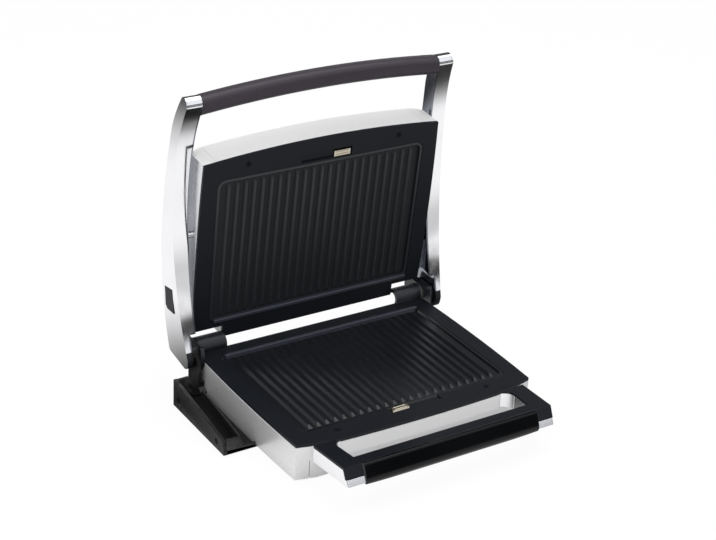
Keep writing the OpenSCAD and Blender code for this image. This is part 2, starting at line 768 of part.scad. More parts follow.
module arm_bores() {
    along_x(arm_x0, foot_in + 5.3) circle(d = hinge_pin_d + 2 * run_fit);
    along_x(arm_x0, arm_in + 8) translate([pivot_w, pivot_u]) circle(d = pivot_d + 0.04);
    grip_bar(5.3);
    translate([cap_screw_at[0], cap_screw_at[1], arm_l - 10]) cylinder(h = 20, d = 3.4);
}

module arm_right() color("Silver") on_arm() arm_channel() along_x(arm_x0, arm_x1)
    circle(d = hinge_pin_d + 11);

module arm_left() color("Silver") on_arm() mirror([1, 0, 0]) difference() {
    arm_channel();
    along_x(foot_in + 2, arm_x1) polygon([for (p = button) [p[1], p[0]]]);
}

// the inner skin of an arm with its round pocket over the hinge
module arm_cover() difference() {
    intersection() {
        arm_block(0, 0, 0, cap_u - gap);
        union() {
            difference() {
                translate([0, 120, 0]) rotate([90, 0, 0]) linear_extrude(240) arm_front(0, 0);
                translate([0, 130, 0]) rotate([90, 0, 0]) linear_extrude(260) arm_front(-20, 1.8);
            }
            pocket(foot_in + 1.8, pocket_r + 1.8);
        }
    }
    pocket(foot_in, pocket_r);
    arm_bores();
}

// the right cover has the slot for the lid's stop pin
module arm_cover_right() color("Gainsboro") on_arm() difference() {
    arm_cover();
    along_x(arm_x0, arm_out - 1.7) {
        translate([stop_w, stop_u]) rotate(-9) for (y = [-4, 10]) translate([0, y]) circle(d = 11.2);
        translate([stop_w, stop_u]) rotate(-9) translate([-5.6, -4]) square([11.2, 14]);
    }
}
module arm_cover_left() color("Gainsboro") on_arm() mirror([1, 0, 0]) arm_cover();

// the silver caps continue the round section of the arms in to the grip
module corner_caps() color("Silver") on_arm() both_sides() difference() {
    intersection() {
        arm_block(0, 0, 0);
        translate([arm_x0, -60, cap_u]) cube([cap_out - arm_x0, 160, 60]);
    }
    grip_bar(5.3);
    translate([cap_screw_at[0], cap_screw_at[1], arm_l - 10]) cylinder(h = 17, d = 3.04);
}

// a round-section arc through both caps, its middle at arm_l + grip_arch
module grip_bar(r) {
    rr = arc_r(grip_half, grip_arch);
    half = asin((grip_half + 11.7) / rr);
    translate([0, 28, arm_l + grip_arch - rr]) rotate([90, 0, 0]) rotate([0, 0, 90 - half])
        rotate_extrude(angle = 2 * half, $fn = big) translate([rr, 0]) circle(r);
}

module top_grip() color("#2e2d30") on_arm() difference() {
    rr = arc_r(grip_half, grip_arch);
    half = asin((grip_half + 2) / rr);
    translate([0, 28, arm_l + grip_arch - rr]) rotate([90, 0, 0]) rotate([0, 0, 90 - half])
        rotate_extrude(angle = 2 * half, $fn = big) translate([rr, 0]) rotate(-9) {
            s = grip_h / 2;
            translate([-s + 9, -s]) square([2 * s - 18, 2 * s]);
            translate([-s, -s + 9]) square([2 * s, 2 * s - 18]);
            for (x = [9 - s, s - 9], y = [9 - s, s - 9]) translate([x, y]) circle(9);
        }
    grip_bar(5.3);
    both_sides() translate([grip_half + 0.1, -40, arm_l - 134]) cube([40, 120, 200]);
}

module grip_core() color("Silver") on_arm() grip_bar(5);

module cap_screws() color("Silver") on_arm() both_sides()
    translate([cap_screw_at[0], cap_screw_at[1], arm_l - 3.6]) {
    translate([0, 0, -2.1]) cylinder(h = 2, d = 5.6);
    translate([0, 0, -1]) cylinder(h = 11, d = 3);
}

module pivot_pins() color("Silver") on_arm() both_sides() translate([hw - 4.5, pivot_w, pivot_u])
    rotate([0, 90, 0]) cylinder(h = arm_in + 8 - hw + 4.5, d = pivot_d);

module lock_button() color("#16181c") on_arm() mirror([1, 0, 0]) {
    along_x(foot_in + 6.4, arm_out - 1.8) polygon([for (p = button)
        let(q = button_mid + (p - button_mid) * 0.98) [q[1], q[0]]]);
    along_x(foot_in + 4.4, foot_in + 6.9) translate([21, 58]) square([6, 16]);
}
button_mid = [66, 25];

// the bent bar from behind the button down to the cam on the hinge pin
module lock_bar() color("Silver") on_arm() mirror([1, 0, 0]) along_x(foot_in + 2.1, foot_in + 4.1)
    polygon([[19, 55], [28, 55], [28, 35], [5, 15], [5, cam_r + 0.6], [-4, cam_r + 0.6], [-4, 18],
        [19, 38]]);

module lock_cam() color("Silver") on_arm() mirror([1, 0, 0])
    along_x(foot_in + 2.1, foot_in + 4.9) difference() {
        circle(cam_r);
        circle(d = hinge_pin_d + 0.04);
    }

// ---- lid ----

module lid_profile(i) {
    x = hw + side_bow + 2;
    z = lid_t - i;
    r = lid_back_r;
    translate([-x + i, -21]) square([2 * (x - i), 21 - rim_t]);
    translate([-x + r, -z]) square([2 * (x - r), z - rim_t]);
    both_sides() intersection() {
        translate([x - r, -z + r - i]) circle(r - i);
        translate([0, -80]) square([400, 80 - rim_t]);
    }
    translate([-x + i, -z + r - i]) square([2 * (x - i), z - r + i - rim_t]);
}

// the solid form of the lid behind its rim, inset by i
module lid_form(i) intersection() {
    translate([0, 0, -lid_t - 1]) linear_extrude(lid_t + 1 - rim_t) lid_outline(i);
    translate([0, 400, 0]) rotate([90, 0, 0]) linear_extrude(500) lid_profile(i);
}

module lid_cover(x0, x1) difference() {
    intersection() {
        difference() {
            lid_form(0);
            lid_form(wall);
        }
        translate([x0, -60, -100]) cube([x1 - x0, 500, 100]);
    }
}

module lid_shell() color("White") on_lid() {
    lid_cover(-seam_x + 1 + gap / 2, seam_x - 1 - gap / 2);
    for (p = lid_screw_at) translate([p[0], p[1], -lid_t + wall - 0.5]) difference() {
        cylinder(h = lid_t - wall + 0.5 - rim_t, d = 9);
        translate([0, 0, 20]) cylinder(h = 30, d = 4);
    }
}

lid_screw_at = [[44 - seam_x, lid_y0 + 7.5], [seam_x - 44, lid_y0 + 7.5]];

module lid_end() difference() {
    union() {
        lid_cover(seam_x - 1 + gap / 2, hw + 20);
        intersection() {
            lid_form(0.5);
            on_pivot(hw - 12.5, hw + 20) circle(d = pivot_d + 8);
        }
        intersection() {
            lid_form(0.5);
            on_stop(hw - 12.5, hw + 20) circle(d = stop_d + 6);
        }
    }
    on_pivot(hw - 12.5, hw + 20) circle(d = pivot_d + 2 * run_fit);
}

// stations of the pivot and stop pins in the tray frame
module on_pivot(x0, x1) along_x(x0, x1) translate([axis_y - pivot_u, w_rim - pivot_w]) children();
module on_stop(x0, x1) along_x(x0, x1) translate([axis_y - stop_u, w_rim - stop_w]) children();

module lid_end_right() color("White") on_lid() difference() {
    lid_end();
    on_stop(hw - 12.5, hw + 20) circle(d = stop_d + 0.04);
}
module lid_end_left() color("White") on_lid() mirror([1, 0, 0]) lid_end();

module stop_pin() color("Silver") on_lid() on_stop(hw - 8.5, arm_in + 2) circle(d = stop_d);

module lid_rim() color("#202428") on_lid() difference() {
    translate([0, 0, -rim_t]) linear_extrude(rim_t) lid_outline();
    rim_cuts(upper_latch_at, lid_screw_at);
}

module lid_screws() color("#1c1e22") on_lid() rim_screws_at(lid_screw_at);
module upper_plate() color("#25292e") on_lid() plate();
module upper_reflector() color("Silver") on_lid() reflector();
module upper_element() color("DarkSlateGray") on_lid() element();
module upper_clips() color("Gainsboro") on_lid() clips();
module upper_thermostat() color("Gray") on_lid() thermostat();
module upper_latch() color("#c9bda4") on_lid() latch(upper_latch_at);

base_tray();
front_panel();
side_panel_left();
side_panel_right();
lower_rim();
lower_plate();
lower_reflector();
lower_element();
lower_clips();
lower_thermostat();
lower_latch();
terminal_block();
cord_gland();
handle_frame();
handle_covers();
front_grip();
side_stand();
hinge_hoods();
hinge_hubs();
hinge_pins();
hinge_spacer();
hinge_washers();
lock_cam();
feet();
rim_screws();
base_screws();
stand_screws();
arm_left();
arm_right();
arm_cover_left();
arm_cover_right();
corner_caps();
top_grip();
grip_core();
cap_screws();
pivot_pins();
lock_button();
lock_bar();
lid_shell();
lid_end_left();
lid_end_right();
lid_rim();
lid_screws();
upper_plate();
upper_reflector();
upper_element();
upper_clips();
upper_thermostat();
upper_latch();
stop_pin();
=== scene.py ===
"""Looks of an electric indoor grill with a hinged lid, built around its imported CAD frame."""

import json
import math

import bmesh
import bpy
from mathutils import Matrix, Vector

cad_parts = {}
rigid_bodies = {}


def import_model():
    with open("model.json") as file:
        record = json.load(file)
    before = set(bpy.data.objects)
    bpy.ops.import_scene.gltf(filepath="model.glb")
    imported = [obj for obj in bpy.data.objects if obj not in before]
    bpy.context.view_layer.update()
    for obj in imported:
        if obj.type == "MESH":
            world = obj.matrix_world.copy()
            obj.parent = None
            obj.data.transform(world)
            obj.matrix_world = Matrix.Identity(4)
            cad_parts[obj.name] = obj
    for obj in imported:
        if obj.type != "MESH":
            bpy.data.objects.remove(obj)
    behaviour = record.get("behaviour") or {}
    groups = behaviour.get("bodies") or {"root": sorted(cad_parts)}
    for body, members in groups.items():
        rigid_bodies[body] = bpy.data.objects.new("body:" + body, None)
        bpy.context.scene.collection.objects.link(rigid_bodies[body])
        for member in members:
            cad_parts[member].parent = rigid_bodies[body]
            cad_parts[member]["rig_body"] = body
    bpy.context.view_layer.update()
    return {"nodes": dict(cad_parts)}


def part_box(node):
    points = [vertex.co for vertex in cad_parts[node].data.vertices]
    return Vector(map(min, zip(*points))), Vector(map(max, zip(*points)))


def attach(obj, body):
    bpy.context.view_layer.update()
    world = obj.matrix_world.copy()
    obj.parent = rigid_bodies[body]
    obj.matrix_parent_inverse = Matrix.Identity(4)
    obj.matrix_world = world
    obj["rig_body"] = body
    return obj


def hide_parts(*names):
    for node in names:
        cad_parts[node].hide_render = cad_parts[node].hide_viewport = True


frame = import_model()

bl_info = {
    "name": "Contact Grill Looks",
    "version": (1, 0, 0),
    "blender": (4, 5, 0),
    "location": "View3D > Sidebar > Grill",
    "description": "Finishes and detail pieces of an indoor grill with a lid, and its studio",
    "category": "Object",
}

MM = 0.001
NODES = frame["nodes"]

# points nearer than this are one point
TINY = 1e-7
# how far the faces at an edge turn, in radians: for the edges of a CAD piece that are rounded, for
# those of a new prism, for a piece's larger corners, and for edges that stay sharp in the shading
CAD_EDGE = math.radians(28)
PRISM_EDGE = 0.6
CORNER = 0.7
CREASE = math.radians(40)
# how far the open lid leans back from upright
LID_LEAN = math.radians(5.34)
# the directions up along the open lid and out of its plate
LID_UP = Vector((0, -math.sin(LID_LEAN), math.cos(LID_LEAN)))
LID_OUT = Vector((0, -math.cos(LID_LEAN), -math.sin(LID_LEAN)))
# the height below which the arms' ends are black inside their outer faces
ARM_FOOT = 0.062


# ---- values ----

def linear(hex_colour):
    """The linear colour of an sRGB hex value."""
    parts = [int(hex_colour[i:i + 2], 16) / 255 for i in (1, 3, 5)]
    return [c / 12.92 if c < 0.04045 else ((c + 0.055) / 1.055) ** 2.4 for c in parts]


def colour_prop(name, hex_colour, description):
    return bpy.props.FloatVectorProperty(
        name=name, description=description, subtype="COLOR", size=3,
        min=0, max=1, default=linear(hex_colour))


def length_prop(name, millimetres, description):
    return bpy.props.FloatProperty(
        name=name, description=description, unit="LENGTH", precision=4,
        min=0, max=0.02, default=millimetres * MM)


class GrillEdges(bpy.types.PropertyGroup):
    """Radii of the edges of each kind of part."""
    metal: length_prop("Metal edge", 0.5, "Rounding of the steel panels' edges")
    chrome: length_prop("Chrome edge", 0.9, "Rounding of the arms' long edges")
    plastic: length_prop("Plastic edge", 0.6, "Rounding of moulded plastic edges")
    cast: length_prop("Cast edge", 0.8, "Rounding of the cast plates' edges")
    grip: length_prop("Grip edge", 2.2, "Rounding of the top grip's long edges")
    small: length_prop("Small part edge", 0.25, "Rounding of pins, screws and clips")


class GrillFinishes(bpy.types.PropertyGroup):
    """Colours of the finishes."""
    steel: colour_prop("Steel", "#eeeeef", "Satin steel of the body panels")
    chrome: colour_prop("Chrome", "#f5f5f7", "Polished metal of the arms")
    cover: colour_prop("Arm cover", "#90939b", "Darker polished metal of the arms' inner covers")
    lid_silver: colour_prop("Lid silver", "#f4f4f4", "Pale silver of the lid's cover")
    coating: colour_prop("Coating", "#14171b", "Non-stick coating of the plates")
    rim: colour_prop("Rim", "#15181e", "Black plastic of the rims")
    gloss_black: colour_prop("Gloss black", "#08090b", "Shiny black of the front handle")
    grip: colour_prop("Grip", "#38323a", "Warm dark soft plastic of the top grip")
    stand: colour_prop("Stand", "#161617", "Dark grey plastic of the stand")
    champagne: colour_prop("Champagne", "#cfc6b4", "Warm silver of the latches")
    copper: colour_prop("Copper", "#8a5a3c", "Copper and brass of the inner contacts")
    ceramic: colour_prop("Ceramic", "#d9d2c2", "Ceramic of the terminal block")


class GrillStudio(bpy.types.PropertyGroup):
    """Light and floor."""
    fill: bpy.props.FloatProperty(
        name="Fill", description="Strength of the even light from all round",
        min=0, max=2, default=0.62)
    key: bpy.props.FloatProperty(
        name="Key", description="Power of the large lamp over the front left",
        unit="POWER", min=0, max=500, default=18)
    top: bpy.props.FloatProperty(
        name="Top", description="Power of the large lamp overhead",
        unit="POWER", min=0, max=500, default=23)
    floor: colour_prop("Floor", "#cfcfcf", "Colour of the plain floor")


# ---- shader building ----

class Graph:
    """A node tree with short calls for adding nodes and links."""

    def __init__(self, tree):
        self.tree = tree

    def node(self, kind, settings=None, **inputs):
        """A new node; each input goes by its name, or by the letter i and its number."""
        made = self.tree.nodes.new("ShaderNode" + kind)
        for key, value in (settings or {}).items():
            setattr(made, key, value)
        for key, value in inputs.items():
            place = int(key[1:]) if key[1:].isdigit() else key
            self.feed(made.inputs[place], value)
        return made

    def feed(self, target, value):
        """Link a socket to an input, or set the input to a constant."""
        if isinstance(value, bpy.types.NodeSocket):
            self.tree.links.new(value, target)
        else:
            target.default_value = value

    def math(self, operation, a, b=0.0, clamp=False):
        made = self.node("Math", {"operation": operation, "use_clamp": clamp}, i0=a, i1=b)
        return made.outputs[0]

    def mix(self, factor, a, b):
        made = self.node("Mix", {"data_type": "RGBA"})
        self.feed(made.inputs[0], factor)
        self.feed(made.inputs[6], a)
        self.feed(made.inputs[7], b)
        return made.outputs[2]

    def ramp(self, value, low, high, out_low=0.0, out_high=1.0):
        """A smooth step from out_low to out_high where the value goes from low to high."""
        made = self.node("MapRange", {"interpolation_type": "SMOOTHSTEP"}, Value=value)
        for slot, number in zip(range(1, 5), (low, high, out_low, out_high)):
            self.feed(made.inputs[slot], number)
        return made.outputs[0]


def effect_group(name, inputs, outputs, fill):
    """A shader node group, built once and found again by its name."""
    if name in bpy.data.node_groups:
        return bpy.data.node_groups[name]
    group = bpy.data.node_groups.new(name, "ShaderNodeTree")
    for label, kind, default in inputs:
        made = group.interface.new_socket(name=label, in_out="INPUT", socket_type="NodeSocket" + kind)
        made.default_value = default
    for label, kind in outputs:
        group.interface.new_socket(name=label, in_out="OUTPUT", socket_type="NodeSocket" + kind)
    graph = Graph(group)
    entry = group.nodes.new("NodeGroupInput")
    leave = group.nodes.new("NodeGroupOutput")
    for label, value in fill(graph, entry.outputs).items():
        graph.feed(leave.inputs[label], value)
    return group


def grain_group():
    """Fine moulded grain with a slow change of tone."""
    def fill(g, get):
        place = g.node("TexCoord").outputs["Object"]
        fine = g.node("TexNoise", Vector=place, Scale=get["Scale"], Detail=3.0, Roughness=0.6)
        cells = g.node("TexVoronoi", {"feature": "SMOOTH_F1"}, Vector=place,
                       Scale=g.math("MULTIPLY", get["Scale"], 0.62))
        slow = g.node("TexNoise", Vector=place, Scale=9.0, Detail=4.0, Roughness=0.55)
        height = g.math("ADD", g.math("MULTIPLY", fine.outputs[0], 0.6), cells.outputs[0])
        drift = g.math("SUBTRACT", slow.outputs[0], 0.5)
        fleck = g.math("SUBTRACT", fine.outputs[0], 0.5)
        tone = g.math("ADD", g.math("MULTIPLY", drift, get["Tone"]),
                      g.math("MULTIPLY", fleck, get["Speckle"]))
        light = g.mix(g.math("ADD", tone, 0.5, True), get["Dark"], get["Light"])
        rough = g.math("ADD", get["Roughness"], g.math("MULTIPLY", drift, 0.16))
        return {"Colour": light, "Roughness": rough, "Height": height}
    return effect_group(
        "moulded grain",
        [("Dark", "Color", (0, 0, 0, 1)), ("Light", "Color", (1, 1, 1, 1)),
         ("Scale", "Float", 900.0), ("Tone", "Float", 1.2), ("Speckle", "Float", 0.6),
         ("Roughness", "Float", 0.5)],
        [("Colour", "Color"), ("Roughness", "Float"), ("Height", "Float")], fill)


def brush_group():
    """Long fine lines of brushed metal, stretched along one axis."""
    def fill(g, get):
        place = g.node("TexCoord").outputs["Object"]
        stretched = g.node("VectorMath", {"operation": "MULTIPLY"}, i0=place, i1=get["Stretch"])
        lines = g.node("TexNoise", Vector=stretched.outputs[0], Scale=1.0, Detail=4.0, Roughness=0.7)
        slow = g.node("TexNoise", Vector=place, Scale=6.0, Detail=2.0)
        off = g.math("SUBTRACT", lines.outputs[0], 0.5)
        tone = g.math("ADD", g.math("MULTIPLY", off, get["Contrast"]),
                      g.math("MULTIPLY", g.math("SUBTRACT", slow.outputs[0], 0.5), 0.25))
        shade = g.mix(g.math("ADD", tone, 0.5, True), get["Dark"], get["Light"])
        rough = g.math("ADD", get["Roughness"], g.math("MULTIPLY", off, 0.22))
        return {"Colour": shade, "Roughness": rough, "Height": lines.outputs[0]}
    return effect_group(
        "brushed lines",
        [("Dark", "Color", (0, 0, 0, 1)), ("Light", "Color", (1, 1, 1, 1)),
         ("Stretch", "Vector", (6.0, 900.0, 900.0)), ("Contrast", "Float", 0.8),
         ("Roughness", "Float", 0.3)],
        [("Colour", "Color"), ("Roughness", "Float"), ("Height", "Float")], fill)


def marks_group():
    """Faint handling marks: a slow mask that dulls the gloss here and there."""
    def fill(g, get):
        place = g.node("TexCoord").outputs["Object"]
        slow = g.node("TexNoise", Vector=place, Scale=get["Scale"], Detail=5.0, Roughness=0.6)
        mask = g.ramp(slow.outputs[0], 0.45, 0.72)
        dull = g.math("MULTIPLY", mask, get["Amount"])
        return {"Mask": mask, "Roughness": g.math("ADD", get["Roughness"], dull)}
    return effect_group(
        "handling marks",
        [("Scale", "Float", 22.0), ("Amount", "Float", 0.08), ("Roughness", "Float", 0.12)],
        [("Mask", "Float"), ("Roughness", "Float")], fill)


def edge_wear_and_highlight_group():
    """A mask of lighter edges, broken up by noise: partly worn edges, partly a painted highlight along them.
    """
    def fill(g, get):
        bend = g.node("NewGeometry").outputs["Pointiness"]
        place = g.node("TexCoord").outputs["Object"]
        patch = g.node("TexNoise", Vector=place, Scale=140.0, Detail=3.0)
        edge = g.ramp(bend, get["Start"], get["Full"])
        broken = g.math("MULTIPLY", edge, g.ramp(patch.outputs[0], 0.3, 0.6, 0.35, 1.0))
        return {"Mask": g.math("MULTIPLY", broken, get["Amount"], True)}
    return effect_group(
        "edge_wear_and_highlight",
        [("Start", "Float", 0.52), ("Full", "Float", 0.62), ("Amount", "Float", 0.3)],
        [("Mask", "Float")], fill)


def rib_group():
    """How far up a rib a point lies, from the floor of the grooves to the crests."""
    def fill(g, get):
        place = g.node("TexCoord").outputs["Object"]
        height = g.node("VectorMath", {"operation": "DOT_PRODUCT"}, i0=place, i1=get["Out"])
        return {"Mask": g.ramp(height.outputs["Value"], get["Floor"], get["Crest"])}
    return effect_group(
        "rib height",
        [("Out", "Vector", (0.0, 0.0, 1.0)), ("Floor", "Float", 0.0), ("Crest", "Float", 0.004)],
        [("Mask", "Float")], fill)


def principled(name, metallic=0.0, roughness=0.5, specular=0.5, coat=0.0, coat_rough=0.1):
    """A new material with its Principled shader; constants go straight on its sockets."""
    material = bpy.data.materials.new(name)
    material.use_nodes = True
    tree = material.node_tree
    tree.nodes.clear()
    graph = Graph(tree)
    shader = graph.node("BsdfPrincipled", Metallic=metallic, Roughness=roughness)
    shader.inputs["Specular IOR Level"].default_value = specular
    shader.inputs["Coat Weight"].default_value = coat
    shader.inputs["Coat Roughness"].default_value = coat_rough
    output = graph.node("OutputMaterial")
    tree.links.new(shader.outputs[0], output.inputs[0])
    return material, graph, shader


def place_group(graph, group, **values):
    """The outputs of a node group placed in a material with its own values."""
    made = graph.tree.nodes.new("ShaderNodeGroup")
    made.node_tree = group
    for key, value in values.items():
        graph.feed(made.inputs[key], value)
    return made.outputs


def rgba(colour, scale=1.0):
    """A colour made lighter or darker, with its alpha."""
    return (*[min(1.0, c * scale) for c in colour], 1.0)


def bump(graph, shader, height, strength, distance):
    """Feed a height to a shader's normal through a Bump node."""
    made = graph.node("Bump", Height=height, Strength=strength, Distance=distance)
    graph.feed(shader.inputs["Normal"], made.outputs[0])


def moulded(name, colour, roughness, scale=1100.0, bump_mm=0.02, coat=0.0, specular=0.5,
            spread=0.12, wear_and_highlight=0.25, coat_rough=0.1, speckle=0.6, edge_tone=0.012, ribs=None):
    """A moulded or coated surface: grain, a slow change of tone, and paler edges, partly worn and partly a
    painted highlight.

    ribs is an outward direction and the distances along it of the grooves' floor and of the crests;
    the grooves between the ribs are then painted darker, as shade, and made duller.
    """
    material, g, shader = principled(name, 0.0, roughness, specular, coat, coat_rough)
    grain = place_group(g, grain_group(), Scale=scale, Roughness=roughness, Speckle=speckle,
                        Dark=rgba(colour, 1 - spread), Light=rgba(colour, 1 + spread))
    # paler edges: partly worn, partly a painted highlight along them
    edge = place_group(g, edge_wear_and_highlight_group(), Amount=wear_and_highlight)["Mask"]
    paler = [c * 1.7 + edge_tone for c in colour]
    tone = g.mix(edge, grain["Colour"], rgba(paler))
    rough = grain["Roughness"]
    if ribs:
        out, floor, crest = ribs
        # the grooves are painted darker as shade, and the crests keep the lighter tone as a painted
        # highlight
        rise = place_group(g, rib_group(), Out=out, Floor=floor, Crest=crest)["Mask"]
        tone = g.mix(rise, rgba(colour, 0.3), tone)
        rough = g.math("ADD", rough, g.ramp(rise, 0.0, 1.0, 0.25, 0.0))
    g.feed(shader.inputs["Base Color"], tone)
    g.feed(shader.inputs["Roughness"], rough)
    bump(g, shader, grain["Height"], 0.6, bump_mm * MM)
    return material


def brushed(name, colour, roughness, stretch, contrast=0.7, spread=0.05, bump_mm=0.004,
            metallic=1.0):
    """Brushed metal whose lines run along the axis with the smallest stretch."""
    material, g, shader = principled(name, metallic, roughness)
    lines = place_group(g, brush_group(), Stretch=stretch, Contrast=contrast, Roughness=roughness,
                        Dark=rgba(colour, 1 - spread), Light=rgba(colour, 1 + spread))
    # paler edges: partly worn, partly a painted highlight along them
    edge = place_group(g, edge_wear_and_highlight_group(), Amount=0.25)["Mask"]
    g.feed(shader.inputs["Base Color"], g.mix(edge, lines["Colour"], rgba(colour, 1.12)))
    g.feed(shader.inputs["Roughness"], lines["Roughness"])
    bump(g, shader, lines["Height"], 0.35, bump_mm * MM)
    return material


def polished(name, colour, roughness, amount=0.06, stretch=(160.0, 160.0, 8.0), bump_mm=0.0015):
    """Polished metal with faint polishing lines and handling marks."""
    material, g, shader = principled(name, 1.0, roughness)
    marks = place_group(g, marks_group(), Amount=amount, Roughness=roughness)
    lines = place_group(g, brush_group(), Dark=rgba(colour, 0.97), Light=rgba(colour, 1.02),
                        Stretch=stretch, Contrast=0.6, Roughness=roughness)
    worn = g.math("MULTIPLY", marks["Mask"], 0.35)
    g.feed(shader.inputs["Base Color"], g.mix(worn, lines["Colour"], rgba(colour, 0.93)))
    g.feed(shader.inputs["Roughness"], marks["Roughness"])
    bump(g, shader, lines["Height"], 0.25, bump_mm * MM)
    return material


# how the lines of brushed metal are stretched: they run along the axis with the smallest value
ALONG_X = (7.0, 1100.0, 1100.0)
ALONG_Y = (1100.0, 7.0, 1100.0)
ALONG_Z = (1100.0, 1100.0, 7.0)
FINE_ALONG_Y = (2600.0, 5.0, 2600.0)

# linear colours of the small and inner parts
RIDGE_BLACK = (0.032, 0.035, 0.05)
FOOT_BLACK = (0.02, 0.02, 0.02)
BUTTON_BLACK = (0.007, 0.007, 0.013)
PAN_GREY = (0.62, 0.62, 0.6)
OXIDE_BROWN = (0.08, 0.075, 0.07)
BRIGHT_GREY = (0.55, 0.55, 0.55)

# how much lighter the crests of the lid's plate are painted than the coating: a painted highlight on the
# crests
CREST_HIGHLIGHT_TONE = 2.2
# the lid plate's outward direction at rest, and where its grooves and crests lie along it, for the painted
# shade in the grooves
UPPER_RIB_SHADE = (tuple(LID_OUT), -0.1590, -0.1556)


def metal_makers(name, c):
    """How each metal finish is made from the scene's colours."""
    return {
        "front steel": lambda: brushed(name, c.steel, 0.34, ALONG_X, metallic=0.5),
        "side steel": lambda: brushed(name, c.steel, 0.3, FINE_ALONG_Y, 0.4, 0.03, 0.001, 0.5),
        "lid silver": lambda: brushed(name, c.lid_silver, 0.36, ALONG_X, 0.4, 0.02, 0.002, 0.08),
        "lid end silver": lambda: brushed(name, c.chrome, 0.27, ALONG_Z, 0.4, 0.02, 0.001, 0.85),
        "frame silver": lambda: brushed(name, c.chrome, 0.2, ALONG_X, 0.3, 0.02, 0.001, 0.9),
        "champagne": lambda: brushed(name, c.champagne, 0.22, ALONG_X, 0.5),
        "reflector": lambda: brushed(name, PAN_GREY, 0.3, ALONG_X, 0.9),
        "oxide steel": lambda: brushed(name, OXIDE_BROWN, 0.45, ALONG_Y, 1.2, 0.3),
        "copper": lambda: brushed(name, c.copper, 0.3, ALONG_Z, 0.8, 0.1),
        "arm chrome": lambda: polished(name, c.chrome, 0.07),
        "cover chrome": lambda: polished(name, c.cover, 0.09),
        "cap silver": lambda: polished(name, c.chrome, 0.1),
        "bright steel": lambda: polished(name, BRIGHT_GREY, 0.25, 0.12),
    }


def dark_makers(name, c):
    """How each coated, moulded and ceramic finish is made from the scene's colours."""
    # the lid plate's coating is painted lighter, as a highlight on its crests
    crests = [tone * CREST_HIGHLIGHT_TONE for tone in c.coating]
    return {
        "coating": lambda: moulded(
            name, c.coating, 0.33, 1500.0, 0.03, wear_and_highlight=0.3, spread=0.16),
        "lid coating": lambda: moulded(
            name, crests, 0.33, 1500.0, 0.03, wear_and_highlight=0.3, spread=0.16, ribs=UPPER_RIB_SHADE),
        "ridge black": lambda: moulded(
            name, RIDGE_BLACK, 0.34, 1500.0, 0.02, wear_and_highlight=0.3, edge_tone=0.05),
        "rim black": lambda: moulded(name, c.rim, 0.44, 1300.0, 0.02, wear_and_highlight=0.2, specular=0.2),
        "hub black": lambda: moulded(name, c.rim, 0.4, 1300.0, 0.015, wear_and_highlight=0.3),
        "tray black": lambda: moulded(name, c.rim, 0.55, 900.0, 0.03),
        "cover black": lambda: moulded(name, c.rim, 0.34, 1200.0, 0.01, wear_and_highlight=0.3, specular=0.22),
        "gloss black": lambda: moulded(
            name, c.gloss_black, 0.16, 400.0, 0.004, coat=0.05, coat_rough=0.06, wear_and_highlight=0.15,
            speckle=0.2, specular=0.18),
        "soft grip": lambda: moulded(
            name, c.grip, 0.46, 1500.0, 0.02, wear_and_highlight=0.12, spread=0.1, specular=0.4),
        "stand grey": lambda: moulded(
            name, c.stand, 0.42, 1100.0, 0.03, wear_and_highlight=0.8, spread=0.15, specular=0.3, edge_tone=0.045),
        "foot rubber": lambda: moulded(name, FOOT_BLACK, 0.8, 700.0, 0.05, wear_and_highlight=0.1),
        "ceramic": lambda: moulded(name, c.ceramic, 0.5, 600.0, 0.02, wear_and_highlight=0.1, spread=0.05),
        "button black": lambda: moulded(
            name, BUTTON_BLACK, 0.3, 900.0, 0.008, wear_and_highlight=0.0, specular=0.1),
    }


def finish(name):
    """The material of a finish, made when it is first asked for."""
    if name not in bpy.data.materials:
        colours = bpy.context.scene.grill_finishes
        makers = {**metal_makers(name, colours), **dark_makers(name, colours)}
        return makers[name]()
    return bpy.data.materials[name]


# ---- mesh building ----


def turn(edge):
    """How far an edge's two faces turn, and 0 where there aren't two."""
    return edge.calc_face_angle(0)


def bevel(shape, edges, radius, segments, **settings):
    """Round some edges of a shape."""
    bmesh.ops.bevel(shape, geom=edges, offset=radius, offset_type="OFFSET", segments=segments,
                    profile=0.5, affect="EDGES", clamp_overlap=True, **settings)


def soften(shape, test, radius):
    """Round the corners whose middle and direction pass a test."""
    chosen = []
    for edge in shape.edges:
        a, b = (v.co for v in edge.verts)
        if turn(edge) > CORNER and test((a + b) / 2, (b - a).normalized()):
            chosen.append(edge)
    bevel(shape, chosen, radius, 6, loop_slide=True)


def zone(piece, material, inside):
    """Give the faces that pass a test of their middle and normal a second finish."""
    piece.data.materials.append(finish(material))
    for face in piece.data.polygons:
        if inside(face.center, face.normal):
            face.material_index = 1


def add_piece(name, shape, material, node, keep_sharp=False):
    """The object of a shape, in its finish, with even normals, riding as a node does."""
    for face in shape.faces:
        face.smooth = True
    mesh = bpy.data.meshes.new(name)
    shape.to_mesh(mesh)
    shape.free()
    made = bpy.data.objects.new(name, mesh)
    bpy.context.scene.collection.objects.link(made)
    mesh.materials.append(finish(material))
    even = made.modifiers.new("even normals", "WEIGHTED_NORMAL")
    even.keep_sharp = keep_sharp
    even.weight = 80
    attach(made, NODES[node]["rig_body"])
    return made


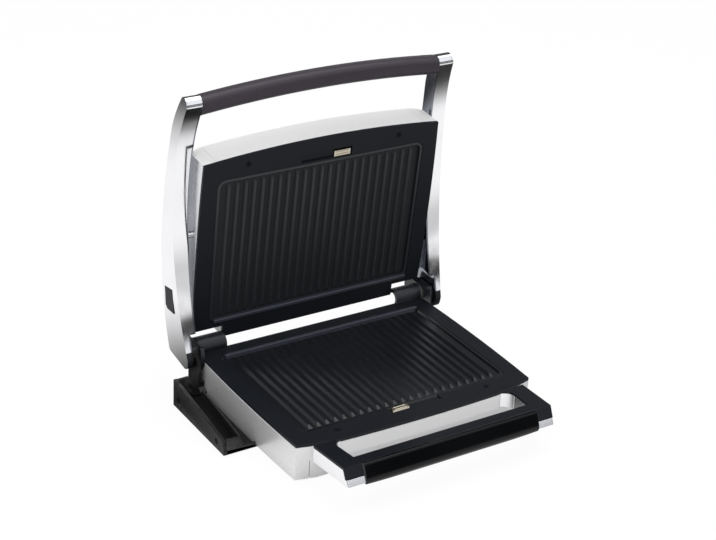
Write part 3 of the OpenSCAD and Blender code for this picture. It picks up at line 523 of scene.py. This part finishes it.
def refine(node, material, radius, corners=None, cut=None):
    """A finished copy of a CAD piece: flat faces joined, real edges rounded, smooth faces.

    corners is a test and a radius for corners rounder than the rest; cut is a height at which
    the faces are parted, so that a zone can end there.
    """
    shape = bmesh.new()
    shape.from_mesh(NODES[node].data)
    bmesh.ops.remove_doubles(shape, verts=shape.verts, dist=TINY)
    bmesh.ops.dissolve_limit(shape, angle_limit=math.radians(0.05), use_dissolve_boundaries=False,
                             verts=shape.verts, edges=shape.edges, delimit={"NORMAL"})
    if corners:
        soften(shape, *corners)
    if radius > 0:
        sharp = [edge for edge in shape.edges if turn(edge) > CAD_EDGE]
        bevel(shape, sharp, radius, 2, harden_normals=False, miter_outer="SHARP", loop_slide=True)
    if cut:
        bmesh.ops.bisect_plane(shape, geom=[*shape.verts, *shape.edges, *shape.faces], dist=TINY,
                               plane_co=(0, 0, cut), plane_no=(0, 0, 1))
    for edge in shape.edges:
        edge.smooth = turn(edge) <= CREASE
    made = add_piece(node + "_finished", shape, material, node, keep_sharp=True)
    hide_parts(node)
    return made


def solid(name, prisms, material, radius, like):
    """A new piece that rides as a node does: prisms, each an outline and the way it is drawn out."""
    shape = bmesh.new()
    for outline, way in prisms:
        base = shape.faces.new([shape.verts.new(point) for point in outline])
        drawn = bmesh.ops.extrude_face_region(shape, geom=[base], use_keep_orig=True)["geom"]
        far_end = [v for v in drawn if isinstance(v, bmesh.types.BMVert)]
        bmesh.ops.translate(shape, vec=way, verts=far_end)
    bmesh.ops.recalc_face_normals(shape, faces=shape.faces)
    sharp = [edge for edge in shape.edges if turn(edge) > PRISM_EDGE]
    bevel(shape, sharp, radius, 3, miter_outer="SHARP")
    return add_piece(name, shape, material, like)


def finish_nodes(table):
    """Refined copies of several CAD nodes, from rows of node, finish and edge radius."""
    for node, material, radius in table:
        refine(node, material, radius)


class GrillOperator:
    """What the operators share: undo in the sidebar."""
    bl_options = {"REGISTER", "UNDO"}


class GRILL_OT_lower_body(GrillOperator, bpy.types.Operator):
    """Finish the base tray, the steel panels, the feet and their screws"""
    bl_idname = "grill.lower_body"
    bl_label = "Lower body"

    def execute(self, context):
        edge = context.scene.grill_edges
        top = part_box("front_panel")[1][2]

        def top_edge(middle, way):
            return middle.z > top - 0.5 * MM and abs(way.z) < 0.1

        # the upward faces of the panels' rounded top edges; they take the paler, near-matt lid silver as a
        # painted highlight along the top edge
        def highlight_edge_faces(at, normal):
            return at.z > top - 1.2 * MM and 0.2 < normal.z < 0.97

        for node, material in (("front_panel", "front steel"), ("side_panel_left", "side steel"),
                               ("side_panel_right", "side steel")):
            piece = refine(node, material, edge.metal, corners=(top_edge, 1.1 * MM))
            # the rounded top edge gets lid silver: a painted highlight line
            zone(piece, "lid silver", highlight_edge_faces)
        finish_nodes([
            ("base_tray", "tray black", edge.plastic),
            ("lower_rim", "rim black", edge.plastic),
            ("rim_screws", "button black", edge.small),
            ("base_screws", "bright steel", edge.small),
            ("feet", "foot rubber", edge.plastic)])
        return {"FINISHED"}


# the section of a ridge in millimetres: across from its middle, and out from the ribs' crests
RIDGE_SECTION = ((-2.6, -4), (-2.6, 1.4), (-1.8, 2.3), (1.8, 2.3), (2.6, 1.4), (2.6, -4))
# the middle of each ridge's section, level with the crests
LOWER_RIDGE = Vector((0, 0.1148, 0.0506))
UPPER_RIDGE = Vector((0, 0.1482, 0.0848))


class GRILL_OT_plates(GrillOperator, bpy.types.Operator):
    """Finish the two cast plates and their sliding latches"""
    bl_idname = "grill.plates"
    bl_label = "Cooking plates"

    def execute(self, context):
        edge = context.scene.grill_edges
        finish_nodes([
            ("lower_plate", "coating", edge.cast),
            ("upper_plate", "lid coating", edge.cast),
            ("lower_latch", "champagne", edge.small),
            ("upper_latch", "champagne", edge.small)])
        self.ridge("lower_plate", LOWER_RIDGE, Vector((0, 1, 0)), Vector((0, 0, 1)))
        self.ridge("upper_plate", UPPER_RIDGE, LID_UP, LID_OUT)
        return {"FINISHED"}

    @staticmethod
    def ridge(node, middle, across, out):
        """The raised bar that closes a plate's ribs at the hinge side."""
        low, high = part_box(node)
        left, width = low[0] + 6.5 * MM, high[0] - low[0] - 9 * MM
        outline = []
        for aside, proud in RIDGE_SECTION:
            point = middle + across * aside * MM + out * proud * MM
            outline.append((left, point.y, point.z))
        solid(node + "_ridge", [(outline, (width, 0, 0))], "ridge black", 0.4 * MM, node)


class GRILL_OT_heaters(GrillOperator, bpy.types.Operator):
    """Finish the heating elements, reflectors, thermostats and wiring ends"""
    bl_idname = "grill.heaters"
    bl_label = "Heaters"

    def execute(self, context):
        edge = context.scene.grill_edges
        finish_nodes([
            ("lower_reflector", "reflector", 0.0),
            ("upper_reflector", "reflector", 0.0),
            ("lower_element", "oxide steel", 0.0),
            ("upper_element", "oxide steel", 0.0),
            ("lower_clips", "bright steel", edge.small),
            ("upper_clips", "bright steel", edge.small),
            ("lower_thermostat", "copper", edge.small),
            ("upper_thermostat", "copper", edge.small),
            ("terminal_block", "ceramic", edge.small),
            ("cord_gland", "foot rubber", edge.plastic)])
        return {"FINISHED"}


class GRILL_OT_front_handle(GrillOperator, bpy.types.Operator):
    """Finish the front handle: silver frame, black covers and shiny grip"""
    bl_idname = "grill.front_handle"
    bl_label = "Front handle"

    def execute(self, context):
        edge = context.scene.grill_edges
        low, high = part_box("handle_frame")

        def front_corner(middle, way):
            return (abs(way.z) > 0.7 and middle.y < low[1] + 8 * MM
                    and not low[0] + 6 * MM < middle.x < high[0] - 6 * MM)

        refine("handle_frame", "frame silver", edge.metal, corners=(front_corner, 4 * MM))
        refine("handle_covers", "cover black", edge.plastic, corners=(front_corner, 1.5 * MM))
        refine("front_grip", "gloss black", 2 * edge.plastic)
        return {"FINISHED"}


# the outlines of the stand's added walls in millimetres: across from the stand's outer face and up
# from the counter, and for the inner one, across from that face, back from its front and up
FRONT_WALL = ((4, 1.2), (4, 22.4), (21.65, 21.6), (24.35, 19), (29.35, 9), (44.35, 8), (44.35, 1.2))
INNER_WALL = ((21.65, 2.327, 3), (21.65, 2.327, 21.5), (36.85, 128.327, 14.6), (36.85, 128.327, 3))


class GRILL_OT_stand(GrillOperator, bpy.types.Operator):
    """Finish the side stand, with its added walls, and the main hinge"""
    bl_idname = "grill.stand"
    bl_label = "Stand and hinge"

    def execute(self, context):
        edge = context.scene.grill_edges
        finish_nodes([
            ("side_stand", "stand grey", 1.5 * edge.plastic),
            ("stand_screws", "button black", edge.small),
            ("hinge_hoods", "hub black", edge.plastic),
            ("hinge_hubs", "hub black", edge.plastic),
            ("hinge_spacer", "hub black", edge.plastic),
            ("hinge_pins", "bright steel", edge.small),
            ("hinge_washers", "bright steel", edge.small),
            ("lock_cam", "oxide steel", edge.small)])
        self.walls()
        return {"FINISHED"}

    @staticmethod
    def walls():
        """The front wall and the slanting inner wall of the stand."""
        left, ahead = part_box("side_stand")[0][:2]
        front = [(left + x * MM, ahead, z * MM) for x, z in FRONT_WALL]
        inner = [(left + x * MM, ahead + y * MM, z * MM) for x, y, z in INNER_WALL]
        prisms = [(front, (0, 3 * MM, 0)), (inner, (2.5 * MM, 0, 0))]
        solid("stand_walls", prisms, "stand grey", 0.6 * MM, "side_stand")


class GRILL_OT_arms(GrillOperator, bpy.types.Operator):
    """Finish the two arms with their covers, caps, pins and lock"""
    bl_idname = "grill.arms"
    bl_label = "Arms"

    def execute(self, context):
        edge = context.scene.grill_edges
        for side, out in (("left", -1), ("right", 1)):
            for node, material, radius in (("arm_", "arm chrome", edge.chrome),
                                           ("arm_cover_", "cover chrome", edge.small)):
                piece = refine(node + side, material, radius, cut=ARM_FOOT)
                zone(piece, "hub black", lambda at, normal: at.z < ARM_FOOT and normal.x * out < 0.6)
        finish_nodes([
            ("corner_caps", "cap silver", edge.chrome),
            ("cap_screws", "bright steel", edge.small),
            ("pivot_pins", "bright steel", edge.small),
            ("lock_button", "button black", edge.small),
            ("lock_bar", "bright steel", edge.small)])
        return {"FINISHED"}


class GRILL_OT_top_grip(GrillOperator, bpy.types.Operator):
    """Finish the top grip and the bar inside it"""
    bl_idname = "grill.top_grip"
    bl_label = "Top grip"

    def execute(self, context):
        edge = context.scene.grill_edges
        finish_nodes([
            ("top_grip", "soft grip", edge.grip),
            ("grip_core", "bright steel", edge.small)])
        return {"FINISHED"}


class GRILL_OT_lid(GrillOperator, bpy.types.Operator):
    """Finish the lid's shell, ends, rim, screws and stop pin"""
    bl_idname = "grill.lid"
    bl_label = "Lid"

    def execute(self, context):
        edge = context.scene.grill_edges
        finish_nodes([
            ("lid_shell", "lid silver", edge.metal),
            ("lid_rim", "rim black", edge.plastic),
            ("lid_screws", "button black", edge.small),
            ("stop_pin", "bright steel", edge.small)])
        for node in ("lid_end_left", "lid_end_right"):
            piece = refine(node, "lid end silver", edge.metal)
            zone(piece, "lid silver", lambda at, normal: abs(normal.x) < 0.6)
        return {"FINISHED"}


# ---- stage ----

CAMERA_PLACE = (-1.06635, -1.57553, 1.15260)
CAMERA_TURN = (-33.700, 26.7115, -3.2852)
CAMERA_LENS = 86.70
SENSOR = 36.0
FLOOR_RADIUS = 6.0
# soft square lamps: place, target and width in metres
KEY_LAMP = ((-1.6, -1.2, 1.9), (0, 0, 0.15), 1.6)
TOP_LAMP = ((0.4, 0.3, 2.3), (0, 0, 0.1), 1.8)


def camera_axes(azimuth, elevation, roll):
    """The camera's turn from its angles in degrees, as a matrix."""
    a, e, r = (math.radians(v) for v in (azimuth, elevation, roll))
    forward = Vector((-math.sin(a) * math.cos(e), math.cos(a) * math.cos(e), -math.sin(e)))
    right = Vector((math.cos(a), math.sin(a), 0))
    down = forward.cross(right)
    x_axis = math.cos(r) * right + math.sin(r) * down
    y_axis = math.sin(r) * right - math.cos(r) * down
    axes = Matrix((x_axis, y_axis, -forward)).transposed()
    return axes.to_4x4()


def add_camera():
    """The camera, looking down at the grill from its front left."""
    data = bpy.data.cameras.new("camera")
    data.lens = CAMERA_LENS
    data.sensor_fit = "HORIZONTAL"
    data.sensor_width = SENSOR
    camera = bpy.data.objects.new("camera", data)
    bpy.context.scene.collection.objects.link(camera)
    camera.matrix_world = Matrix.Translation(CAMERA_PLACE) @ camera_axes(*CAMERA_TURN)
    bpy.context.scene.camera = camera


def seen_ray(graph):
    """One where the ray comes from the camera, or from a reflection or through glass."""
    path = graph.node("LightPath").outputs
    either = graph.math("MAXIMUM", path["Is Glossy Ray"], path["Is Transmission Ray"])
    return path["Is Camera Ray"], either


# pieces of the lower body that polished metal doesn't see; a dark patch of floor stands for them
UNSEEN = ("front_panel", "side_panel_left", "side_panel_right", "base_tray", "lower_rim",
          "rim_screws", "lower_plate", "lower_latch", "lower_reflector", "lower_element",
          "lower_clips", "lower_thermostat", "terminal_block", "handle_frame",
          "handle_covers", "front_grip")
# dark cards that only polished metal sees on the floor: x, y, inner and outer radius in metres
CARDS = ((-0.10, 0.95, 0.20, 0.25), (0.42, 0.05, 0.15, 0.35), (-0.20, 0.14, 0.0, 0.25))


# where the floor's look in polished metal changes, as distances from one place to another in metres:
# dark to bright before the grill, bright to dark far before it, bright to dark behind it
NEAR_FRONT = (-1.2, -0.75)
FAR_FRONT = (-4.1, -3.2)
REAR = (0.85, 1.4)
# a soft dim band before the grill: where it begins, where it ends and how much it takes away
BAND_START = (-0.7, -0.6)
BAND_END = (-0.5, -0.4)
BAND_DEPTH = 0.38
# the dark patch under the lower body: its middle, half its width, its front edge and its rear edge
PATCH_MIDDLE = 0.01
PATCH_SIDE = (0.15, 0.19)
PATCH_FRONT = (-0.19, -0.06)
PATCH_REAR = (0.13, 0.2)


def floor_shine(g):
    """How light the floor looks in polished metal: bright near the grill, dark far away and at the cards."""
    def product(*factors):
        total = factors[0]
        for factor in factors[1:]:
            total = g.math("MULTIPLY", total, factor)
        return total

    def without(mask, share):
        return g.math("SUBTRACT", 1.0, g.math("MULTIPLY", mask, share))

    place = g.node("NewGeometry").outputs["Position"]
    x, y = g.node("SeparateXYZ", i0=place).outputs[:2]
    front = g.math("ADD", g.ramp(y, *NEAR_FRONT, 0.03, 1.0), g.ramp(y, *FAR_FRONT, 1.0, 0.0))
    rear = g.ramp(y, *REAR, 1.0, 0.08)
    band = product(g.ramp(y, *BAND_START), g.ramp(y, *BAND_END, 1.0, 0.0))
    off_middle = g.math("ABSOLUTE", g.math("SUBTRACT", x, PATCH_MIDDLE))
    patch = product(g.ramp(off_middle, *PATCH_SIDE, 1.0, 0.0), g.ramp(y, *PATCH_FRONT),
                    g.ramp(y, *PATCH_REAR, 1.0, 0.0))
    light = product(front, rear, without(band, BAND_DEPTH), without(patch, 0.98))
    for card_x, card_y, inner, outer in CARDS:
        off = g.node("VectorMath", {"operation": "DISTANCE"}, i0=place, i1=(card_x, card_y, 0))
        light = product(light, g.ramp(off.outputs["Value"], inner, outer, 0.04, 1.0))
    return light


def floor_material(colour):
    """Plain and matt, white to the camera with its shadow kept, and patterned in polished metal."""
    material = bpy.data.materials.new("plain floor")
    material.use_nodes = True
    tree = material.node_tree
    tree.nodes.clear()
    g = Graph(tree)
    camera, shiny = seen_ray(g)
    light = floor_shine(g)
    shine = g.node("Emission", Color=(1, 1, 1, 1), Strength=light)
    white = g.node("Emission", Color=(1, 1, 1, 1), Strength=1.0)
    matt = g.node("BsdfDiffuse", Color=rgba(colour))
    pale = g.node("BsdfDiffuse", Color=(1, 1, 1, 1))
    lit = g.node("BsdfDiffuse", Color=g.mix(light, (0, 0, 0, 1), (0.95, 0.95, 0.95, 1)))
    bright = g.node("MixShader", Fac=0.93, i1=pale.outputs[0], i2=white.outputs[0])
    seen = g.node("MixShader", Fac=camera, i1=matt.outputs[0], i2=bright.outputs[0])
    gloss = g.node("MixShader", Fac=0.8, i1=lit.outputs[0], i2=shine.outputs[0])
    both = g.node("MixShader", Fac=shiny, i1=seen.outputs[0], i2=gloss.outputs[0])
    output = g.node("OutputMaterial")
    tree.links.new(both.outputs[0], output.inputs[0])
    return material


def studio_shine(g):
    """The studio in polished metal: a light strip and high soft light ahead, low light behind."""
    way = g.node("SeparateXYZ", i0=g.node("TexCoord").outputs["Generated"])
    up, back = way.outputs[2], way.outputs[1]
    strip = g.math("MULTIPLY", g.ramp(up, -0.01, 0.0), g.ramp(up, 0.028, 0.045, 1.0, 0.0))
    high = g.ramp(up, 0.14, 0.26)
    ahead = g.math("ADD", g.math("MULTIPLY", strip, 0.9), g.math("MULTIPLY", high, 0.95))
    low = g.ramp(up, 0.05, 0.32, 1.0, 0.05)
    behind = g.ramp(back, -0.1, 0.1)
    rear = g.math("MULTIPLY", low, behind)
    front = g.math("MULTIPLY", ahead, g.math("SUBTRACT", 1.0, behind))
    return g.math("ADD", g.math("ADD", rear, front), 0.02)


def studio_world(fill):
    """Even light all round, white to the camera, and the dark studio in polished metal."""
    world = bpy.data.worlds.new("studio")
    bpy.context.scene.world = world
    world.use_nodes = True
    tree = world.node_tree
    tree.nodes.clear()
    g = Graph(tree)
    camera, shiny = seen_ray(g)
    gloss = g.node("Background", Color=(0.94, 0.96, 1, 1), Strength=studio_shine(g))
    even = g.node("Background", Color=(1, 1, 1, 1), Strength=fill)
    white = g.node("Background", Color=(1, 1, 1, 1), Strength=1.0)
    lit = g.node("MixShader", Fac=shiny, i1=even.outputs[0], i2=gloss.outputs[0])
    both = g.node("MixShader", Fac=camera, i1=lit.outputs[0], i2=white.outputs[0])
    output = g.node("OutputWorld")
    tree.links.new(both.outputs[0], output.inputs[0])


def add_lamp(name, place, target, width, power):
    """A soft square lamp that faces a target."""
    data = bpy.data.lights.new(name, "AREA")
    data.shape = "SQUARE"
    data.size = width
    data.energy = power
    lamp = bpy.data.objects.new(name, data)
    bpy.context.scene.collection.objects.link(lamp)
    way = Vector(target) - Vector(place)
    lamp.matrix_world = (Matrix.Translation(place)
                         @ way.to_track_quat("-Z", "Y").to_matrix().to_4x4())


def add_floor(colour):
    """The wide round floor that the grill stands on."""
    mesh = bpy.data.meshes.new("floor")
    shape = bmesh.new()
    bmesh.ops.create_circle(shape, cap_ends=True, segments=96, radius=FLOOR_RADIUS)
    shape.to_mesh(mesh)
    shape.free()
    floor = bpy.data.objects.new("floor", mesh)
    bpy.context.scene.collection.objects.link(floor)
    mesh.materials.append(floor_material(colour))


class GRILL_OT_stage(GrillOperator, bpy.types.Operator):
    """Set up the camera, the plain floor, the surroundings and the soft lamps"""
    bl_idname = "grill.stage"
    bl_label = "Stage"

    def execute(self, context):
        studio = context.scene.grill_studio
        add_camera()
        add_floor(studio.floor)
        studio_world(studio.fill)
        add_lamp("key lamp", *KEY_LAMP, studio.key)
        add_lamp("top lamp", *TOP_LAMP, studio.top)
        context.scene.view_settings.view_transform = "Standard"
        return {"FINISHED"}


OPERATORS = (
    GRILL_OT_stage, GRILL_OT_lower_body, GRILL_OT_plates, GRILL_OT_heaters,
    GRILL_OT_front_handle, GRILL_OT_stand, GRILL_OT_arms, GRILL_OT_top_grip, GRILL_OT_lid)


class GRILL_PT_panel(bpy.types.Panel):
    """Buttons and values of the grill's looks"""
    bl_idname = "GRILL_PT_panel"
    bl_label = "Contact Grill"
    bl_space_type = "VIEW_3D"
    bl_region_type = "UI"
    bl_category = "Grill"

    def draw(self, context):
        for operator in OPERATORS:
            self.layout.operator(operator.bl_idname)
        for group in ("grill_edges", "grill_finishes", "grill_studio"):
            values = getattr(context.scene, group)
            box = self.layout.box()
            for key in values.bl_rna.properties.keys():
                if key not in ("rna_type", "name"):
                    box.prop(values, key)


GROUPS = (("grill_edges", GrillEdges), ("grill_finishes", GrillFinishes),
          ("grill_studio", GrillStudio))
CLASSES = (GrillEdges, GrillFinishes, GrillStudio, *OPERATORS, GRILL_PT_panel)


def register():
    for cls in CLASSES:
        bpy.utils.register_class(cls)
    for name, kind in GROUPS:
        setattr(bpy.types.Scene, name, bpy.props.PointerProperty(type=kind))


def unregister():
    for name, _ in GROUPS:
        delattr(bpy.types.Scene, name)
    for cls in reversed(CLASSES):
        bpy.utils.unregister_class(cls)


def hide_from_reflections():
    """Keep the lower body's pieces out of polished metal, where the dark patch stands for them."""
    for node in UNSEEN:
        bpy.data.objects[node + "_finished"].visible_glossy = False


def main():
    register()
    for operator in OPERATORS:
        action = operator.bl_idname.split(".")[1]
        getattr(bpy.ops.grill, action)()
    hide_from_reflections()


if __name__ == "__main__":
    main()
